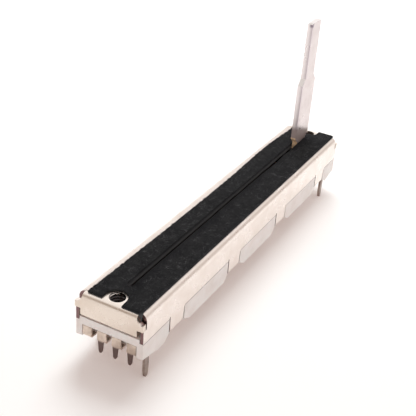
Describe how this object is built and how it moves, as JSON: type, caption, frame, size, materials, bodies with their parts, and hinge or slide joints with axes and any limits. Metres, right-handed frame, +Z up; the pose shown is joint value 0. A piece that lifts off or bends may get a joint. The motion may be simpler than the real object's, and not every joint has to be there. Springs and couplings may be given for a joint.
{
  "type": "slide potentiometer",
  "caption": "Slim straight-travel fader: folded metal channel with a felt dust cover on a pale plastic tray, tapped end tongues, solder terminals and a tall stepped strip lever.",
  "frame": {"origin": "under the middle of the length and width, on the plane of the leg tips", "axes": "+X along the travel towards the end without the row of four terminals, +Y across, +Z up along the lever"},
  "size_m": [0.075, 0.0116, 0.0366],
  "materials": {
    "plated_steel": "bright tin-zinc plating, faintly warm",
    "plate_steel": "bright plating",
    "felt": "thin dark grey felt",
    "base_plastic": "white moulded plastic with a faint lilac tint",
    "board": "resin-bonded paper board",
    "carbon": "printed carbon film",
    "collector": "printed silver film",
    "terminal_tin": "tinned strip, dulled",
    "leg_tin": "tinned strip",
    "rod_steel": "ground steel",
    "rubber": "soft black pad",
    "lever_steel": "bright plated strip",
    "carriage_plastic": "black acetal",
    "spring_brass": "spring brass"
  },
  "bodies": {
    "housing": {"frame": "plated_steel", "end_plate_near": "plate_steel", "end_plate_far": "plate_steel", "dust_cover": "felt", "base": "base_plastic", "element_board": "board", "carbon_track_a": "carbon", "carbon_track_b": "carbon", "collector_track_a": "collector", "collector_track_b": "collector", "terminal_near_1": "terminal_tin", "terminal_near_2": "terminal_tin", "terminal_near_3": "terminal_tin", "terminal_near_4": "terminal_tin", "terminal_far_1": "terminal_tin", "terminal_far_2": "terminal_tin", "leg_near_right": "leg_tin", "leg_near_left": "leg_tin", "leg_far_right": "leg_tin", "leg_far_left": "leg_tin", "guide_rod_left": "rod_steel", "guide_rod_right": "rod_steel", "end_stop_near": "rubber", "end_stop_far": "rubber"},
    "slider": {"lever": "lever_steel", "carriage": "carriage_plastic", "wiper_a": "spring_brass", "wiper_b": "spring_brass", "drag_spring": "spring_brass"}
  },
  "joints": [
    {"name": "lever_slide", "type": "slide", "parent": "housing", "child": "slider", "axis": [1, 0, 0], "range_m": [-0.06, 0]}
  ]
}
